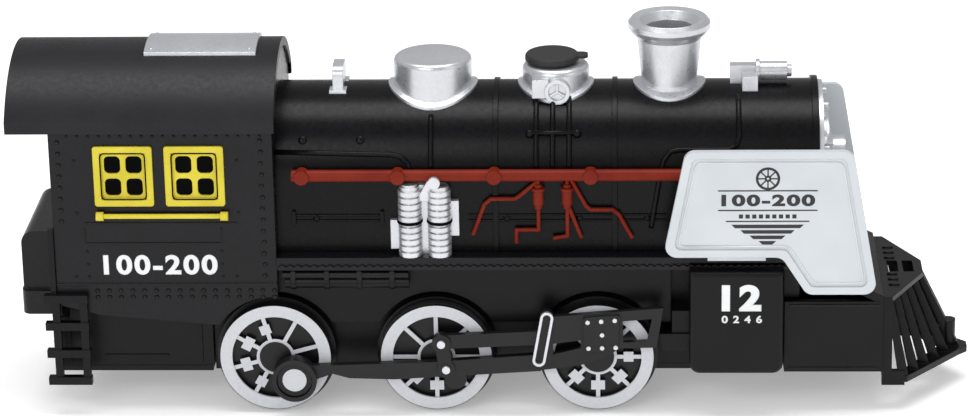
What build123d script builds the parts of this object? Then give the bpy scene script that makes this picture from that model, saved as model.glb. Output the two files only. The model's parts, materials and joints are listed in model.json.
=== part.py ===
from build123d import *
import math
import os

os.makedirs("parts", exist_ok=True)

# Toy steam-outline locomotive, millimetres, +X is the front, +Z is up.
# The origin is on the rail surface, below the middle of the whole body.

# ---------- driving dimensions ----------

# running gear
tread_radius = 13.76
flange_radius = 14.7
axle_height = flange_radius
axle_radius = 1.5
rear_axle_x = -53.9
drive_axle_x = -14.3
front_axle_x = 25.3
wheel_inner = 18.2
wheel_face = 23.0
wheel_web = 21.2
spoke_face = 22.6
flange_width = 1.4
rim_inner_radius = 10.7
hub_radius = 3.9
hub_ring_radius = 4.7
spoke_count = 8
spoke_width = 1.0
tyre_groove_depth = 0.9
tyre_stand = 0.2
crank_radius = 6.6
crank_angle = -43.0
crank_boss_radius = 4.2
crank_stud_radius = 1.7

# rods
rod_gap = 0.9
rod_thick = 2.0
rod_eye_clear = 0.2
rod_eye_wall = 1.1
stud_clear = 0.15
rod_outer = 27.3

# chassis
channel_outer = 15.8
channel_wall = 1.6
keeper_bottom = 8.8
keeper_top = 10.2
deck_bottom = 37.3
deck_top = 39.3
skirt_outer = 19.2
skirt_inner = 17.3
skirt_bottom = 22.5
skirt_front = 43.2
arch_radius = 15.9
channel_front = 70.6
channel_rear = -69.6

# running board
board_top = 40.8
board_half = 22.9
board_front = 72.7
valance_depth = 1.5
valance_thick = 1.0

# cab
cab_rear = -107.0
cab_front = -52.8
cab_half = 22.7
cab_wall = 1.4
cab_eave = 73.5
roof_radius = 28.8
roof_centre_z = 60.1
roof_thick = 2.2
roof_rear = -117.2
roof_front = -52.1
roof_half = 24.0
hatch_rise = 0.9
window_width = 14.4
window_height = 15.3
window_low = 54.5
window_rear_x = -96.3
window_front_x = -79.0
window_reveal = 1.3

# boiler
boiler_radius = 18.4
boiler_axis_z = 59.7
boiler_wall = 1.6
boiler_top = boiler_axis_z + boiler_radius
boiler_front = 79.0
smokebox_ring_radius = 19.1
band_width = 1.3
band_rise = 0.5

# boiler fittings
dome_x = -14.9
dome_radius = 9.55
dome_top = 85.4
chimney_x = 42.9
chimney_top = 94.6
chimney_lip_radius = 10.0
chimney_neck_radius = 6.75
chimney_shoulder_radius = 7.8
chimney_shoulder_z = 89.8
chimney_bore = 5.7
filler_x = 15.2
filler_radius = 8.2
filler_top = 83.4
plug_x = 14.3
plug_radius = 6.6
plug_top = 85.8
plug_stem_radius = 3.6
saddle_rise = 0.7
fitting_base_z = boiler_axis_z + 5.3

# pipes and pump on the boiler side
rail_z = 61.2
rail_radius = 1.45
rail_rear = -48.6
rail_front = 50.0
pipe_radius = 0.5
pump_rear_x = -20.1
pump_front_x = -12.9
pump_radius = 2.85
pump_centre = 20.5

# front end
plate_outer = 26.7
plate_thick = 1.0
plate_rim_rise = 0.5
cylinder_rear = 47.6
cylinder_front = 70.4
cylinder_low = 11.7
cylinder_high = 38.3
cylinder_outer = 26.7
front_box_rear = 70.8
front_box_front = 94.8
front_box_half = 22.0
front_box_low = 10.5
front_box_high = 28.9
pilot_tip = 117.2

# drive
gear_module = 0.5
axle_teeth = 30
lower_small_teeth = 12
lower_big_teeth = 32
upper_small_teeth = 10
upper_big_teeth = 36
pinion_teeth = 12
tooth_addendum = 0.38
tooth_dedendum = 0.6
tooth_backlash = 0.09
gear_step_x = 3.0
gear_pin_radius = 0.75
gear_bore_clear = 0.1
motor_radius = 10.0
motor_flat = 7.5
motor_rear = -16.4
motor_face = 8.6

# power
cell_radius = 7.25
cell_length = 50.5
cell_gap = 0.4
case_wall = 1.2
case_half = 16.8
case_rear = -108.6
case_front = -69.8
case_low_top = 23.0
door_bottom = 8.6
door_thick = 1.6
door_clear = 0.15

# general fits
slide_clear = 0.2
bush_wall = 1.0
bush_clear = 0.08


# ---------- small helpers ----------

def block(x0, x1, y0, y1, z0, z1):
    """A box between two corners."""
    centre = Pos((x0 + x1) / 2, (y0 + y1) / 2, (z0 + z1) / 2)
    return centre * Box(abs(x1 - x0), abs(y1 - y0), abs(z1 - z0))


def rod_x(y, z, radius, x0, x1):
    """A round bar along X."""
    return Pos((x0 + x1) / 2, y, z) * Rot(0, 90, 0) * Cylinder(radius, abs(x1 - x0))


def rod_y(x, z, radius, y0, y1):
    """A round bar along Y."""
    return Pos(x, (y0 + y1) / 2, z) * Rot(90, 0, 0) * Cylinder(radius, abs(y1 - y0))


def rod_z(x, y, radius, z0, z1):
    """A round bar along Z."""
    return Pos(x, y, (z0 + z1) / 2) * Cylinder(radius, abs(z1 - z0))


def side_plane(inner):
    """A sketch plane on the right side: u is X, v is Z, and it grows outwards."""
    return Plane(origin=(0, -inner, 0), x_dir=(1, 0, 0), z_dir=(0, -1, 0))


def side_plate(points, inner, outer, corner=0.0):
    """A flat plate on the right side, between two distances from the middle."""
    if corner:
        outline = FilletPolyline(*points, radius=corner, close=True)
    else:
        outline = Polyline(*points, close=True)
    face = make_face(outline)
    return extrude(side_plane(inner) * face, amount=outer - inner)


def top_plate(points, z0, z1):
    """A flat plate seen from above, between two heights."""
    face = make_face(Polyline(*points, close=True))
    return extrude(Pos(0, 0, z0) * face, amount=z1 - z0)


def lathe_z(points, x, y=0.0):
    """A turned piece about a vertical line."""
    face = make_face(Polyline(*points, close=True))
    return Pos(x, y, 0) * revolve(Plane.XZ * face, axis=Axis.Z)


def pipe(points, radius):
    """A bent pipe made of straight runs with ball corners."""
    shape = None
    for start, end in zip(points, points[1:]):
        direction = Vector(*end) - Vector(*start)
        plane = Plane(origin=start, z_dir=direction)
        run = extrude(plane * Circle(radius), amount=direction.length)
        shape = run if shape is None else shape + run
    for corner in points[1:-1]:
        shape = shape + Pos(*corner) * Sphere(radius)
    return shape


def left_of(shape):
    """The mirror copy on the left side."""
    return mirror(shape, about=Plane.XZ)


def both(shape):
    """A right piece and its mirror copy, as one group."""
    return Compound(children=solids_of(shape) + solids_of(left_of(shape)))


def solids_of(shape):
    """The separate solids of a shape."""
    return [Solid(item.wrapped) for item in shape.solids()]


def save(name, shape):
    """Write one named piece."""
    solids = solids_of(shape)
    body = solids[0] if len(solids) == 1 else Compound(children=solids)
    export_step(body, "parts/" + name + ".step")


# ---------- shared outlines ----------

def boiler_drum(radius, x0, x1):
    """A drum about the boiler axis."""
    return rod_x(0, boiler_axis_z, radius, x0, x1)


def boiler_outline(grow, x0, x1, low):
    """The boiler section: half round on top, straight walls below."""
    radius = boiler_radius + grow
    walls = block(x0, x1, -radius, radius, low, boiler_axis_z)
    return boiler_drum(radius, x0, x1) + walls


def saddle(x, radius):
    """A thin round flange that lies on the boiler."""
    skin = boiler_drum(boiler_radius + saddle_rise, x - 2 * radius, x + 2 * radius)
    skin = skin - boiler_drum(boiler_radius, x - 3 * radius, x + 3 * radius)
    disc = rod_z(x, 0, radius, fitting_base_z, boiler_axis_z + 2 * boiler_radius)
    return disc & skin


def on_boiler(shape, x):
    """Trim a fitting so that it stands on the boiler."""
    reach = 3 * boiler_radius
    return shape - boiler_drum(boiler_radius, x - reach, x + reach)


def crank_point(axle_x):
    """The crank pin's place for an axle."""
    angle = math.radians(crank_angle)
    x = axle_x + crank_radius * math.cos(angle)
    z = axle_height + crank_radius * math.sin(angle)
    return x, z


# ---------- wheels ----------

def wheel(axle_x, first_spoke, weights, boss, stud, groove):
    """One right-hand wheel, its outer face towards the right."""
    flange = rod_y(0, 0, flange_radius, -wheel_inner, -wheel_inner - flange_width)
    tread = rod_y(0, 0, tread_radius, -wheel_inner - flange_width, -wheel_face)
    pocket = rod_y(0, 0, rim_inner_radius, -wheel_web, -wheel_face)
    body = flange + tread - pocket
    if groove:
        band = rod_y(0, 0, tread_radius + 1, -groove[0], -groove[1])
        core = rod_y(0, 0, tread_radius - tyre_groove_depth, -groove[0], -groove[1])
        body = body - (band - core)
    ring = rod_y(0, 0, hub_ring_radius, -wheel_web, -spoke_face)
    hub = rod_y(0, 0, hub_radius, -wheel_web, -wheel_face)
    body = body + ring + hub
    reach = rim_inner_radius + 0.4
    for number in range(spoke_count):
        angle = first_spoke + number * 360 / spoke_count
        bar = block(0, reach, -wheel_web, -spoke_face, -spoke_width / 2, spoke_width / 2)
        body = body + Rot(0, -angle, 0) * bar
    for angle, width in weights:
        pad = block(6.3, 8.7, -wheel_web, -spoke_face, -width / 2, width / 2)
        body = body + Rot(0, -angle, 0) * pad
    pin_x, pin_z = crank_point(0)
    if boss:
        body = body + rod_y(pin_x, pin_z - axle_height, crank_boss_radius, -wheel_web, -boss)
    if stud:
        body = body + rod_y(pin_x, pin_z - axle_height, crank_stud_radius, -wheel_web, -stud)
    body = body - rod_y(0, 0, axle_radius, -wheel_inner, -wheel_web - 0.4)
    return Pos(axle_x, 0, axle_height) * body


def axle(axle_x):
    """A plain steel axle that ends inside both wheels."""
    reach = wheel_web + 0.4
    return rod_y(axle_x, axle_height, axle_radius, -reach, reach)


stud_end = wheel_face + rod_gap + rod_thick - 0.5
boss_end = rod_outer - 0.6
tyre_band = (wheel_inner + flange_width + 0.3, wheel_inner + flange_width + 2.4)
rear_weights = [(108.0, 2.6), (152.5, 3.4), (195.4, 3.4), (240.5, 2.6)]
mid_weights = [(225.0, 3.4), (270.0, 3.4), (315.0, 3.4)]
front_weights = [(225.0, 3.4), (270.0, 3.4), (315.0, 3.4), (0.0, 2.6)]

rear_wheel = wheel(rear_axle_x, 15.5, rear_weights, boss_end, 0, None)
mid_wheel = wheel(drive_axle_x, 0.0, mid_weights, 0, stud_end, tyre_band)
front_wheel = wheel(front_axle_x, 0.0, front_weights, 0, 0, None)
save("wheel_rear_right", rear_wheel)
save("wheel_rear_left", left_of(rear_wheel))
save("wheel_drive_right", mid_wheel)
save("wheel_drive_left", left_of(mid_wheel))
save("wheel_front_right", front_wheel)
save("wheel_front_left", left_of(front_wheel))
save("rear_axle", axle(rear_axle_x))
save("drive_axle", axle(drive_axle_x))
save("front_axle", axle(front_axle_x))

tyre_outer = rod_y(drive_axle_x, axle_height, tread_radius + tyre_stand, -tyre_band[0], -tyre_band[1])
tyre_inner_radius = tread_radius - tyre_groove_depth
tyre_inner = rod_y(drive_axle_x, axle_height, tyre_inner_radius, -tyre_band[0], -tyre_band[1])
save("traction_tyres", both(tyre_outer - tyre_inner))


# ---------- rods ----------

rod_inner = wheel_face + rod_gap
rod_face = rod_inner + rod_thick
plate_face = rod_face + 0.4
rear_pin = crank_point(rear_axle_x)
mid_pin = crank_point(drive_axle_x)
upper_rivet = (mid_pin[0] - 3.4, mid_pin[1] + 9.4)
lower_rivet = (mid_pin[0] - 2.3, mid_pin[1] + 2.7)
link_low = (11.0, 15.4)
link_high = (13.0, 26.4)
link_half = 1.6


def slot_plate(start, end, radius, inner, outer):
    """A bar with round ends between two points of the side view."""
    length = math.dist(start, end)
    angle = math.degrees(math.atan2(end[1] - start[1], end[0] - start[0]))
    middle = ((start[0] + end[0]) / 2, (start[1] + end[1]) / 2)
    face = Pos(*middle) * Rot(0, 0, angle) * SlotCenterToCenter(length, 2 * radius)
    return extrude(side_plane(inner) * face, amount=outer - inner)


def make_rod():
    """The black rod set: ring eye, lower rod, crank plate, upper rod and crosshead frame."""
    eye_radius = crank_boss_radius + rod_eye_clear
    ring = rod_y(*rear_pin, eye_radius + rod_eye_wall, -rod_inner + 0.3, -rod_outer)
    lower = side_plate([
        (rear_pin[0] + 3.6, rear_pin[1] + 3.4),
        (-15.9, 14.6), (11.4, 16.6), (11.4, 12.3),
        (-24.5, 10.1), (-35.6, 10.4), (-39.8, 11.6),
        (rear_pin[0] + 4.6, rear_pin[1] - 0.4),
    ], rod_inner, rod_face)
    pin_lobe = rod_y(*mid_pin, 2.7, -rod_inner, -rod_face)
    crank_plate = slot_plate(upper_rivet, lower_rivet, 1.7, rod_inner, plate_face)
    collars = rod_y(*upper_rivet, 2.3, -rod_inner, -plate_face)
    collars = collars + rod_y(*lower_rivet, 2.3, -rod_inner, -plate_face)
    upper = side_plate([
        (upper_rivet[0], upper_rivet[1] - 1.6), (12.5, 19.1),
        (12.5, 22.7), (upper_rivet[0], upper_rivet[1] + 1.9),
    ], rod_inner, rod_face - 0.3)
    frame = side_plate([
        (12.0, 26.2), (41.3, 28.6), (39.7, 18.3), (30.8, 18.1), (26.3, 15.3),
        (21.7, 13.9), (17.7, 13.2), (11.0, 12.3),
    ], rod_inner, rod_face - 0.4)
    window = side_plate([(31.4, 25.2), (38.5, 25.8), (37.4, 19.9), (31.6, 19.6)], rod_inner, rod_face)
    gap = side_plate([(14.4, 16.5), (21.2, 18.2), (21.2, 20.2), (14.4, 19.3)], rod_inner, rod_face)
    frame = frame - window - gap
    cover = side_plate([(21.8, 26.4), (30.8, 27.1), (30.2, 17.8), (21.9, 17.2)], rod_face - 0.4, plate_face, 0.8)
    link_body = slot_plate(link_low, link_high, link_half, rod_inner, rod_face)
    shape = ring + lower + pin_lobe + crank_plate + collars + upper + frame + cover + link_body
    shape = shape - rod_y(*rear_pin, eye_radius, -rod_inner + 1, -rod_outer - 1)
    return shape - rod_y(*mid_pin, crank_stud_radius + stud_clear, -rod_inner + 1, -stud_end - stud_clear)


def make_rod_trim():
    """The bright pieces on the rod: the slotted link's rim and the rivet heads."""
    rim = slot_plate(link_low, link_high, link_half, rod_face, rod_face + 0.9)
    rim = rim - slot_plate(link_low, link_high, link_half - 0.65, rod_face - 1, rod_face + 2)
    shapes = [rim]
    for point in (upper_rivet, lower_rivet):
        shapes.append(rod_y(*point, 1.0, -plate_face, -plate_face - 0.7))
    for column in range(3):
        x = 22.9 + 3.3 * column
        shapes.append(rod_y(x, 25.3 + 0.25 * column, 0.55, -plate_face, -plate_face - 0.4))
        shapes.append(rod_y(x + 0.2, 18.5 + 0.1 * column, 0.55, -plate_face, -plate_face - 0.4))
    shapes.append(rod_y(26.4, 22.0, 0.55, -plate_face, -plate_face - 0.4))
    return Compound(children=[solid for shape in shapes for solid in solids_of(shape)])


rod_set = make_rod()
rod_trim = make_rod_trim()
save("rod_right", rod_set)
save("rod_left", left_of(rod_set))
save("rod_trim_right", rod_trim)
save("rod_trim_left", left_of(rod_trim))


# ---------- gear train ----------

lower_gap = gear_module * (axle_teeth + lower_small_teeth) / 2
upper_gap = gear_module * (lower_big_teeth + upper_small_teeth) / 2
motor_gap = gear_module * (upper_big_teeth + pinion_teeth) / 2
lower_gear_x = drive_axle_x - gear_step_x
lower_gear_z = axle_height + math.sqrt(lower_gap ** 2 - gear_step_x ** 2)
upper_gear_x = drive_axle_x
upper_gear_z = lower_gear_z + math.sqrt(upper_gap ** 2 - gear_step_x ** 2)
motor_x = upper_gear_x
motor_z = upper_gear_z + motor_gap


def gear_disc(teeth, phase, x, z, y0, y1):
    """A spur gear about a Y axis; phase is the angle of one tooth's middle, from +X up."""
    pitch_radius = gear_module * teeth / 2
    root = pitch_radius - tooth_dedendum
    tip = pitch_radius + tooth_addendum
    half_pitch = math.pi * gear_module / 4 - tooth_backlash
    profile = [(root, 1.35), (pitch_radius, 1.0), (tip, 0.48)]
    points = []
    for number in range(teeth):
        centre = math.radians(phase + number * 360 / teeth)
        for radius, share in profile:
            angle = centre - share * half_pitch / radius
            points.append((radius * math.cos(angle), radius * math.sin(angle)))
        for radius, share in reversed(profile):
            angle = centre + share * half_pitch / radius
            points.append((radius * math.cos(angle), radius * math.sin(angle)))
    plane = Plane(origin=(x, y1, z), x_dir=(1, 0, 0), z_dir=(0, -1, 0))
    return extrude(plane * make_face(Polyline(*points, close=True)), amount=y1 - y0)


def mesh_phase(phase, teeth, direction, next_teeth):
    """The phase of the next gear so that its gap meets this gear's tooth."""
    share = (direction - phase) * teeth / 360
    return direction + 180 - (0.5 - share) * 360 / next_teeth


lower_way = math.degrees(math.atan2(lower_gear_z - axle_height, lower_gear_x - drive_axle_x))
upper_way = math.degrees(math.atan2(upper_gear_z - lower_gear_z, upper_gear_x - lower_gear_x))
lower_phase = mesh_phase(0, axle_teeth, lower_way, lower_small_teeth)
upper_phase = mesh_phase(0, lower_big_teeth, upper_way, upper_small_teeth)
motor_phase = mesh_phase(0, upper_big_teeth, 90, pinion_teeth)
gear_bore = gear_pin_radius + gear_bore_clear
motor_shaft_radius = 1.0

drive_gear = gear_disc(axle_teeth, 0, drive_axle_x, axle_height, 2.6, 5.0)
drive_gear = drive_gear - rod_y(drive_axle_x, axle_height, axle_radius, 0, 8)
save("drive_gear", drive_gear)

lower_idler = gear_disc(lower_small_teeth, lower_phase, lower_gear_x, lower_gear_z, 2.3, 5.4)
lower_idler = lower_idler + gear_disc(lower_big_teeth, 0, lower_gear_x, lower_gear_z, 5.4, 7.2)
lower_idler = lower_idler + rod_y(lower_gear_x, lower_gear_z, 1.8, 7.2, 9.0)
save("idler_gear_lower", lower_idler - rod_y(lower_gear_x, lower_gear_z, gear_bore, 0, 15))

upper_idler = gear_disc(upper_small_teeth, upper_phase, upper_gear_x, upper_gear_z, 5.2, 10.4)
upper_idler = upper_idler + gear_disc(upper_big_teeth, 0, upper_gear_x, upper_gear_z, 10.4, 12.2)
upper_idler = upper_idler + rod_y(upper_gear_x, upper_gear_z, 1.8, 12.2, 13.6)
save("idler_gear_upper", upper_idler - rod_y(upper_gear_x, upper_gear_z, gear_bore, 0, 15))

pinion = gear_disc(pinion_teeth, motor_phase, motor_x, motor_z, 9.9, 12.7)
save("motor_pinion", pinion + rod_y(motor_x, motor_z, motor_shaft_radius, motor_face + 1.1, 13.4))

pin_low = rod_y(lower_gear_x, lower_gear_z, gear_pin_radius, 0.4, 10.2)
pin_high = rod_y(upper_gear_x, upper_gear_z, gear_pin_radius, 0.4, channel_outer)
save("gear_pins", Compound(children=[pin_low, pin_high]))

motor_can = rod_y(motor_x, motor_z, motor_radius, motor_rear, motor_face)
flats = block(motor_x - 2 * motor_radius, motor_x + 2 * motor_radius, motor_rear, motor_face,
              motor_z - motor_flat, motor_z + motor_flat)
motor_can = (motor_can & flats) + rod_y(motor_x, motor_z, 3.0, motor_face, motor_face + 0.8)
save("motor", motor_can - rod_y(motor_x, motor_z, 1.3, motor_face - 1, motor_face + 2))

strap_y0 = -6.0
strap_y1 = 2.0
strap_foot = 4.0
strap_half = motor_radius + slide_clear
strap = block(motor_x - strap_half - 1, motor_x + strap_half + 1, strap_y0, strap_y1,
              deck_top, motor_z + motor_flat + 1.2)
strap = strap - block(motor_x - strap_half, motor_x + strap_half, strap_y0 - 1, strap_y1 + 1,
                      deck_top - 1, motor_z + motor_flat + slide_clear)
for side in (-1, 1):
    foot_x = motor_x + side * (strap_half + 1)
    strap = strap + block(foot_x, foot_x + side * strap_foot, strap_y0, strap_y1, deck_top, deck_top + 1.0)
save("motor_strap", strap)


# ---------- chassis ----------

axle_places = (rear_axle_x, drive_axle_x, front_axle_x)
bush_inner_radius = axle_radius + bush_clear
bush_radius = bush_inner_radius + bush_wall

channel = block(channel_rear, channel_front, -channel_outer, channel_outer, keeper_top, deck_bottom)
channel = channel - block(channel_rear + 1.6, channel_front - 1.6, -channel_outer + channel_wall,
                          channel_outer - channel_wall, 0, deck_bottom)
deck = block(-105.2, channel_front, -skirt_outer, skirt_outer, deck_bottom, deck_top)
deck = deck - block(case_rear - 1, -72.6 + slide_clear, -case_half - slide_clear, case_half + slide_clear,
                    0, deck_top + 1)
skirts = both(block(cab_front, skirt_front, -skirt_outer, -skirt_inner, skirt_bottom, deck_bottom))
underframe = channel + deck + skirts
gear_rib = block(-25.0, -4.0, 0.4, 1.8, axle_height + axle_radius + 0.8, deck_bottom)
underframe = underframe + gear_rib
for place in axle_places:
    underframe = underframe - rod_y(place, axle_height, bush_radius, -20, 20)
    underframe = underframe - block(place - bush_radius, place + bush_radius, -20, 20, 0, axle_height)
    arch = rod_y(place, axle_height, arch_radius, -skirt_outer - 1, -skirt_inner + 0.1)
    underframe = underframe - arch - left_of(arch)
underframe = underframe - rod_y(lower_gear_x, lower_gear_z, gear_pin_radius, 0, 2)
underframe = underframe - rod_y(upper_gear_x, upper_gear_z, gear_pin_radius, 0, 20)
gear_window = block(motor_x - 10.4, motor_x + 10.4, 9.4, 13.4, deck_bottom - 1, deck_top + 1)
pinion_window = block(upper_gear_x - 3.4, upper_gear_x + 3.4, 4.9, 9.5, deck_bottom - 1, deck_top + 1)
underframe = underframe - gear_window - pinion_window
screw_places = ((-60.0, 0.0), (44.0, 0.0))
for x, y in screw_places:
    underframe = underframe - rod_z(x, y, 1.7, deck_bottom - 1, deck_top + 1)
save("underframe", underframe)

keeper = block(channel_rear, channel_front, -channel_outer, channel_outer, keeper_bottom, keeper_top)
for place in axle_places:
    low = axle_height - bush_radius
    for side in (-1, 1):
        inner = side * (channel_outer - channel_wall)
        keeper = keeper + block(place - 2.3, place + 2.3, inner, side * channel_outer, keeper_top, low)
sump_radius = gear_module * axle_teeth / 2 + tooth_addendum + 0.5
sump = block(drive_axle_x - sump_radius, drive_axle_x + sump_radius, 1.2, 6.4, 5.4, keeper_bottom)
sump_hole = rod_y(drive_axle_x, axle_height, sump_radius, 2.2, 5.4)
keeper = keeper + sump - sump_hole
keeper = keeper - block(9.8, 18.2, -1.4, 1.4, keeper_bottom - 1, keeper_top + 1)
keeper_screw_places = ((-60.0, 0.0), (44.0, 0.0), (-34.0, 0.0), (64.0, 0.0))
for x, y in keeper_screw_places:
    keeper = keeper - rod_z(x, y, 1.1, keeper_bottom - 1, keeper_top + 1)
save("axle_keeper", keeper)


def bush(place):
    """A flanged bearing bush in the right channel wall."""
    barrel = rod_y(place, axle_height, bush_radius, -channel_outer + channel_wall, -channel_outer)
    collar = rod_y(place, axle_height, bush_radius + 0.8, -channel_outer, -channel_outer - 0.7)
    return barrel + collar - rod_y(place, axle_height, bush_inner_radius, -10, -20)


save("axle_bushes", Compound(children=[s for place in axle_places for s in solids_of(both(bush(place)))]))


def screw(x, y, head_z, tip_z):
    """A cross-head screw, its head at head_z and its tip at tip_z."""
    up = 1 if tip_z > head_z else -1
    head = rod_z(x, y, 2.0, head_z, head_z + up * 1.2)
    slots = block(x - 1.2, x + 1.2, y - 0.2, y + 0.2, head_z - 0.5, head_z + up * 0.5)
    slots = slots + block(x - 0.2, x + 0.2, y - 1.2, y + 1.2, head_z - 0.5, head_z + up * 0.5)
    return head + rod_z(x, y, 1.0, head_z + up * 1.2, tip_z) - slots


fixings = []
for x, y in keeper_screw_places:
    fixings.append(screw(x, y, keeper_bottom - 1.2, keeper_top + 5))
for x, y in screw_places:
    fixings.append(screw(x, y, deck_bottom - 1.2, deck_top + 6))
save("fixing_screws", Compound(children=[s for item in fixings for s in solids_of(item)]))

board = block(cab_front, board_front, -board_half, -boiler_radius + boiler_wall, deck_top, board_top)
valance = block(cab_front, skirt_front, -board_half, -board_half + valance_thick,
                deck_top - valance_depth, deck_top)
side_pipe = rod_x(-(board_half - 1.2), 36.1, 0.95, -51.5, -20.7)
for x in (-48.9, -40.7, -32.7, -24.7):
    side_pipe = side_pipe + block(x - 0.6, x + 0.6, -board_half + 0.1, -skirt_outer, 34.9, 37.3)
side_pipe = side_pipe + block(-49.5, -24.1, -board_half + 1.1, -skirt_outer, 35.6, 36.6)
save("running_board", Compound(children=solids_of(both(board + valance)) + solids_of(both(side_pipe))))


# ---------- battery case, cells and door ----------

cell_half = cell_radius + cell_gap / 2
cells_centre_x = -88.9
cell_low = door_bottom + door_thick + 1.4
case_upper_rear = -105.2
case_upper_front = -72.6
case_top = cell_low + cell_length + 2.6
case_low = door_bottom + door_thick
lower_shell = block(case_rear, case_front, -case_half, case_half, case_low, case_low_top)
lower_shell = lower_shell - block(case_rear + case_wall, case_front - case_wall, -case_half + case_wall,
                                  case_half - case_wall, 0, case_low_top - case_wall)
upper_shell = block(case_upper_rear, case_upper_front, -case_half, case_half, case_low_top - case_wall, case_top)
cavity = block(case_upper_rear + case_wall, case_upper_front - case_wall, -case_half + case_wall,
               case_half - case_wall, 0, case_top - case_wall)
case = lower_shell + upper_shell - cavity
save("battery_case", case)

cells = []
for side_x in (-1, 1):
    for side_y in (-1, 1):
        x = cells_centre_x + side_x * cell_half
        y = side_y * cell_half
        cell = rod_z(x, y, cell_radius, cell_low, cell_low + cell_length - 1.2)
        cells.append(cell + rod_z(x, y, 2.6, cell_low + cell_length - 1.2, cell_low + cell_length))
save("battery_cells", Compound(children=cells))

contact_z = cell_low + cell_length
contacts = []
for side_y in (-1, 1):
    y0 = side_y * cell_half - 4.5
    contacts.append(block(cells_centre_x - 12, cells_centre_x + 12, y0, y0 + 9, contact_z, contact_z + 0.5))
save("battery_contacts", Compound(children=contacts))

door_rear = case_rear + 0.4
door = block(door_rear, case_front - 0.4, -case_half + 0.3, case_half - 0.3, door_bottom, case_low - door_clear)
for number in range(5):
    x = door_rear + 4 + 1.6 * number
    door = door + block(x, x + 0.7, -6, 6, door_bottom - 0.5, door_bottom)
save("battery_door", door)


# ---------- switch and electronics ----------

circuit = block(34.0, 62.0, -11.0, 11.0, 28.0, 29.2)
for x, y, w, d, h in ((40, -5, 6, 5, 1.6), (50, 4, 5, 5, 3.5), (57, -4, 4, 7, 2.2), (44, 6, 3, 3, 2.6)):
    circuit = circuit + block(x - w / 2, x + w / 2, y - d / 2, y + d / 2, 29.2, 29.2 + h)
posts = []
for x in (36, 60):
    for y in (-9, 9):
        posts.append(rod_z(x, y, 1.6, 29.2, deck_bottom))
for post in posts:
    circuit = circuit + post
switch_box = block(8.0, 20.0, -3.0, 3.0, keeper_top, keeper_top + 4.0)
switch_box = switch_box - block(9.6, 18.4, -1.3, 1.3, keeper_top - 1, keeper_top + 2.2)
save("circuit_board", Compound(children=solids_of(circuit) + solids_of(switch_box)))

knob = block(10.0, 13.0, -1.2, 1.2, keeper_bottom - 0.2, keeper_top + 2.0)
knob = knob + block(9.0, 14.0, -2.4, 2.4, keeper_bottom - 1.6, keeper_bottom - 0.2)
for x in (10.0, 11.5, 13.0):
    knob = knob - block(x - 0.25, x + 0.25, -3, 3, keeper_bottom - 2, keeper_bottom - 1.3)
save("switch_knob", knob)


# ---------- boiler shell ----------

boiler = boiler_outline(0, cab_front, board_front, board_top)
boiler = boiler + boiler_drum(boiler_radius, board_front, boiler_front)
hollow = boiler_outline(-boiler_wall, cab_front - 1, board_front - boiler_wall, board_top - 1)
hollow = hollow + boiler_drum(boiler_radius - boiler_wall, board_front - boiler_wall - 1, boiler_front + 1)
for x in (0.7, 29.6):
    boiler = boiler + boiler_outline(band_rise, x - band_width / 2, x + band_width / 2, board_top)
boiler = boiler + boiler_drum(smokebox_ring_radius, boiler_front - 1.6, boiler_front)
boiler = boiler - hollow
boss = rod_z(screw_places[1][0], 0, 3.0, deck_top + 0.1, board_top + 7)
web = block(screw_places[1][0] - 0.8, screw_places[1][0] + 0.8, -boiler_radius + 0.5, boiler_radius - 0.5,
            board_top + 3, board_top + 7)
boiler = boiler + (boss + web) - rod_z(screw_places[1][0], 0, 1.0, 0, board_top + 6)
boiler = boiler - rod_z(chimney_x, 0, chimney_bore - 0.7, boiler_axis_z, 100)
boiler = boiler - rod_z(filler_x, 0, plug_stem_radius + 0.4, boiler_axis_z, 100)
save("boiler_shell", boiler)

tank = block(4.0, 38.0, -9.0, 9.0, 62.0, 74.0)
tank = tank - block(5.2, 36.8, -7.8, 7.8, 63.2, 72.8)
neck_top = boiler_axis_z + boiler_radius - boiler_wall - 1.0
tank = tank + rod_z(filler_x, 0, plug_stem_radius + 1.3, 74.0, neck_top)
tank = tank - rod_z(filler_x, 0, plug_stem_radius + 0.4, 70.0, 90.0)
save("water_tank", tank)


# ---------- dome, chimney, filler, whistle, generator ----------

dome = fillet(rod_z(dome_x, 0, dome_radius, fitting_base_z, dome_top).faces().sort_by(Axis.Z)[-1].edges(), 1.3)
save("steam_dome", on_boiler(dome, dome_x) + saddle(dome_x, dome_radius + 1.4))

neck_z = boiler_axis_z + boiler_radius + 0.7
chimney = lathe_z([
    (chimney_bore, fitting_base_z), (chimney_neck_radius, fitting_base_z),
    (chimney_neck_radius, neck_z), (chimney_shoulder_radius, chimney_shoulder_z),
    (chimney_lip_radius - 0.6, chimney_top - 3.2), (chimney_lip_radius, chimney_top - 2.2),
    (chimney_lip_radius, chimney_top - 0.9), (chimney_lip_radius - 0.8, chimney_top),
    (chimney_bore + 1.6, chimney_top - 0.5), (chimney_bore, chimney_top - 2.4),
], chimney_x)
chimney_foot = saddle(chimney_x, chimney_neck_radius + 2.1) - rod_z(chimney_x, 0, chimney_bore, 60, 100)
save("chimney", on_boiler(chimney, chimney_x) + chimney_foot)

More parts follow.
